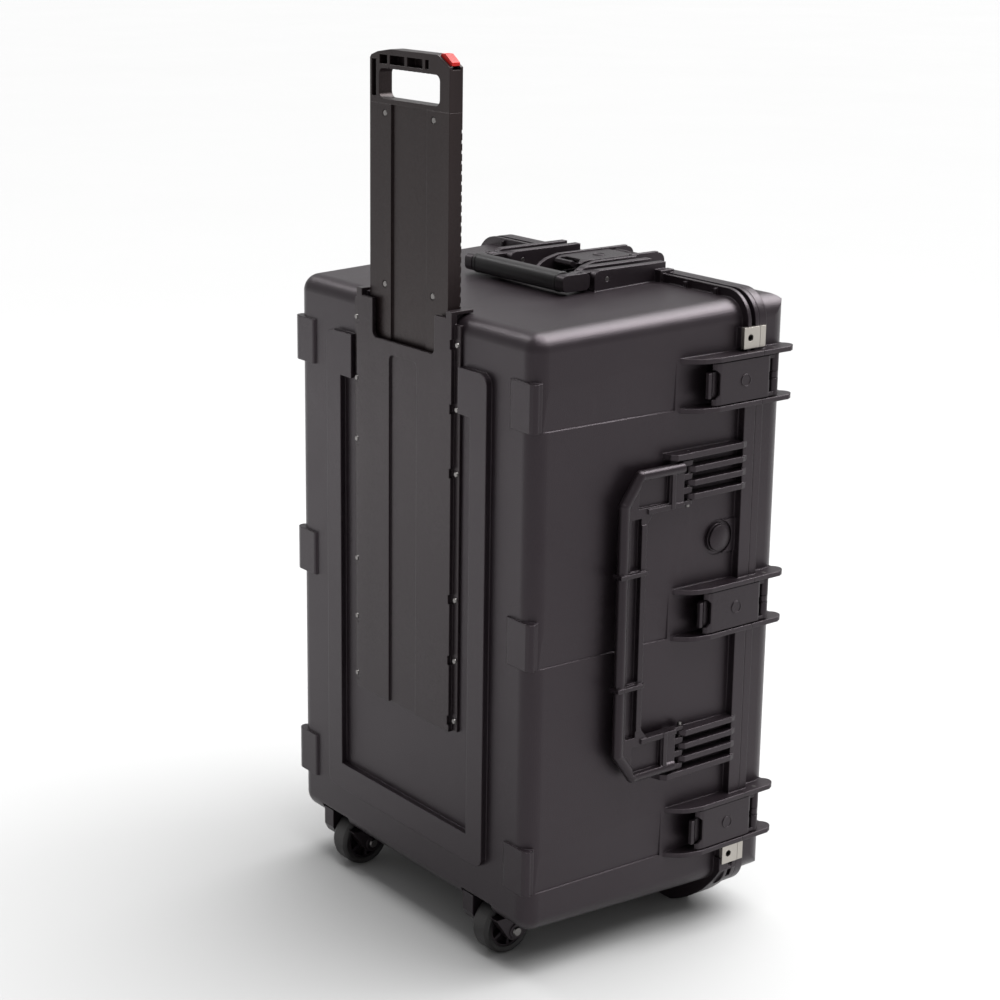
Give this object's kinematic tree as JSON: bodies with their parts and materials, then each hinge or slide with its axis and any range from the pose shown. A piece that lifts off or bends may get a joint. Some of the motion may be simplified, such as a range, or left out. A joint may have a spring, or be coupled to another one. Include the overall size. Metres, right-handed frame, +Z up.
{
  "type": "wheeled hard equipment case",
  "caption": "Upright moulded hard case with hinged lid, over-centre latches, folding side and end handles, telescoping trolley handle and two wheels.",
  "frame": {"origin": "centre of the outline seen from above, on the ground it stands on", "axes": "+Z up as it stands on its wheels and feet with the trolley handle up, +X out of the latch side, +Y out of the lid, -Y out of the trolley side"},
  "size_m": [0.5506, 0.396, 1.1015],
  "materials": {
    "shell": "moulded black, fine grain, satin",
    "trim": "glass-filled black plastic, satin",
    "grip_rubber": "black overmoulded rubber",
    "tread": "black urethane tread",
    "steel": "stainless, brushed",
    "alloy": "drawn rod",
    "red_button": "red moulded button"
  },
  "bodies": {
    "case_base": {"base_shell": "shell", "hinge_pin_upper": "steel", "hinge_pin_lower": "steel", "padlock_plate_base_upper": "steel", "padlock_plate_base_lower": "steel", "side_handle_pin_upper": "steel", "side_handle_pin_lower": "steel", "end_handle_pin_left": "steel", "end_handle_pin_right": "steel", "trolley_cover": "trim", "trolley_cover_screws": "steel", "wheel_left_axle": "steel", "wheel_left_housing": "trim", "wheel_left_screws": "steel", "wheel_right_axle": "steel", "wheel_right_housing": "trim", "wheel_right_screws": "steel", "valve_body": "trim", "valve_seal": "grip_rubber", "valve_nut": "trim"},
    "lid": {"lid_shell": "shell", "lid_gasket": "grip_rubber", "padlock_plate_lid_upper": "steel", "padlock_plate_lid_lower": "steel", "latch_1_pin": "steel", "latch_2_pin": "steel", "latch_3_pin": "steel", "latch_4_pin": "steel"},
    "side_handle": {"side_handle_bail": "trim"},
    "end_handle": {"end_handle_bail": "trim", "end_handle_grip": "grip_rubber"},
    "trolley": {"trolley_panel": "trim", "trolley_grip": "trim", "trolley_panel_screws": "steel", "trolley_button_spring": "steel"},
    "release_button": {"trolley_button": "red_button", "trolley_lock_rod": "alloy"},
    "lock_bolt": {"trolley_lock_bolt": "steel"},
    "wheel_left": {"wheel_left_hub": "trim", "wheel_left_tyre": "tread"},
    "wheel_right": {"wheel_right_hub": "trim", "wheel_right_tyre": "tread"},
    "valve": {"valve_knob": "trim"},
    "latch_1": {"latch_1_plate": "trim"},
    "trigger_1": {"latch_1_trigger": "trim"},
    "latch_2": {"latch_2_plate": "trim"},
    "trigger_2": {"latch_2_trigger": "trim"},
    "latch_3": {"latch_3_plate": "trim"},
    "trigger_3": {"latch_3_trigger": "trim"},
    "latch_4": {"latch_4_plate": "trim"},
    "trigger_4": {"latch_4_trigger": "trim"}
  },
  "joints": [
    {"name": "lid_hinge", "type": "hinge", "parent": "case_base", "child": "lid", "pos_m": [-0.26884, 0.1382, 0.431], "axis": [0, 0, 1], "range_deg": [0, 110]},
    {"name": "side_handle_swing", "type": "hinge", "parent": "case_base", "child": "side_handle", "pos_m": [0.25984, 0.036, 0.431], "axis": [0, 0, 1], "range_deg": [0, 95]},
    {"name": "end_handle_swing", "type": "hinge", "parent": "case_base", "child": "end_handle", "pos_m": [0, 0.038, 0.821], "axis": [-1, 0, 0], "range_deg": [0, 95]},
    {"name": "trolley_slide", "type": "slide", "parent": "case_base", "child": "trolley", "axis": [0, 0, 1], "range_m": [-0.3, 0]},
    {"name": "release_button_press", "type": "slide", "parent": "trolley", "child": "release_button", "axis": [0, 0, -1], "range_m": [0, 0.0035], "stiffness_N_per_m": 1500, "springref_m": -0.002, "deforming": ["trolley_button_spring"]},
    {"name": "lock_bolt_draw", "type": "slide", "parent": "trolley", "child": "lock_bolt", "axis": [-1, 0, 0], "range_m": [0, 0.0035]},
    {"name": "wheel_left_spin", "type": "hinge", "parent": "case_base", "child": "wheel_left", "pos_m": [-0.155, -0.155, 0.036], "axis": [1, 0, 0], "continuous": true},
    {"name": "wheel_right_spin", "type": "hinge", "parent": "case_base", "child": "wheel_right", "pos_m": [0.155, -0.155, 0.036], "axis": [1, 0, 0], "continuous": true},
    {"name": "valve_turn", "type": "hinge", "parent": "case_base", "child": "valve", "pos_m": [0.25349, 0.093, 0.519], "axis": [1, 0, 0], "range_deg": [0, 180]},
    {"name": "latch_1_swing", "type": "hinge", "parent": "lid", "child": "latch_1", "pos_m": [0.26684, 0.163, 0.717], "axis": [0, 0, 1], "range_deg": [0, 100]},
    {"name": "trigger_1_pull", "type": "hinge", "parent": "latch_1", "child": "trigger_1", "pos_m": [0.26824, 0.085, 0.717], "axis": [0, 0, 1], "range_deg": [0, 4], "stiffness_Nm_per_rad": 0.5, "springref_deg": -114.59},
    {"name": "latch_2_swing", "type": "hinge", "parent": "lid", "child": "latch_2", "pos_m": [0.26684, 0.163, 0.431], "axis": [0, 0, 1], "range_deg": [0, 100]},
    {"name": "trigger_2_pull", "type": "hinge", "parent": "latch_2", "child": "trigger_2", "pos_m": [0.26824, 0.085, 0.431], "axis": [0, 0, 1], "range_deg": [0, 4], "stiffness_Nm_per_rad": 0.5, "springref_deg": -114.59},
    {"name": "latch_3_swing", "type": "hinge", "parent": "lid", "child": "latch_3", "pos_m": [0.26684, 0.163, 0.145], "axis": [0, 0, 1], "range_deg": [0, 100]},
    {"name": "trigger_3_pull", "type": "hinge", "parent": "latch_3", "child": "trigger_3", "pos_m": [0.26824, 0.085, 0.145], "axis": [0, 0, 1], "range_deg": [0, 4], "stiffness_Nm_per_rad": 0.5, "springref_deg": -114.59},
    {"name": "latch_4_swing", "type": "hinge", "parent": "lid", "child": "latch_4", "pos_m": [0, 0.163, 0.82284], "axis": [-1, 0, 0], "range_deg": [0, 100]},
    {"name": "trigger_4_pull", "type": "hinge", "parent": "latch_4", "child": "trigger_4", "pos_m": [0, 0.085, 0.82424], "axis": [-1, 0, 0], "range_deg": [0, 4], "stiffness_Nm_per_rad": 0.5, "springref_deg": -114.59}
  ],
  "couplings": [
    {"joint": "lock_bolt_draw", "follows": "release_button_press", "ratio": 1}
  ]
}
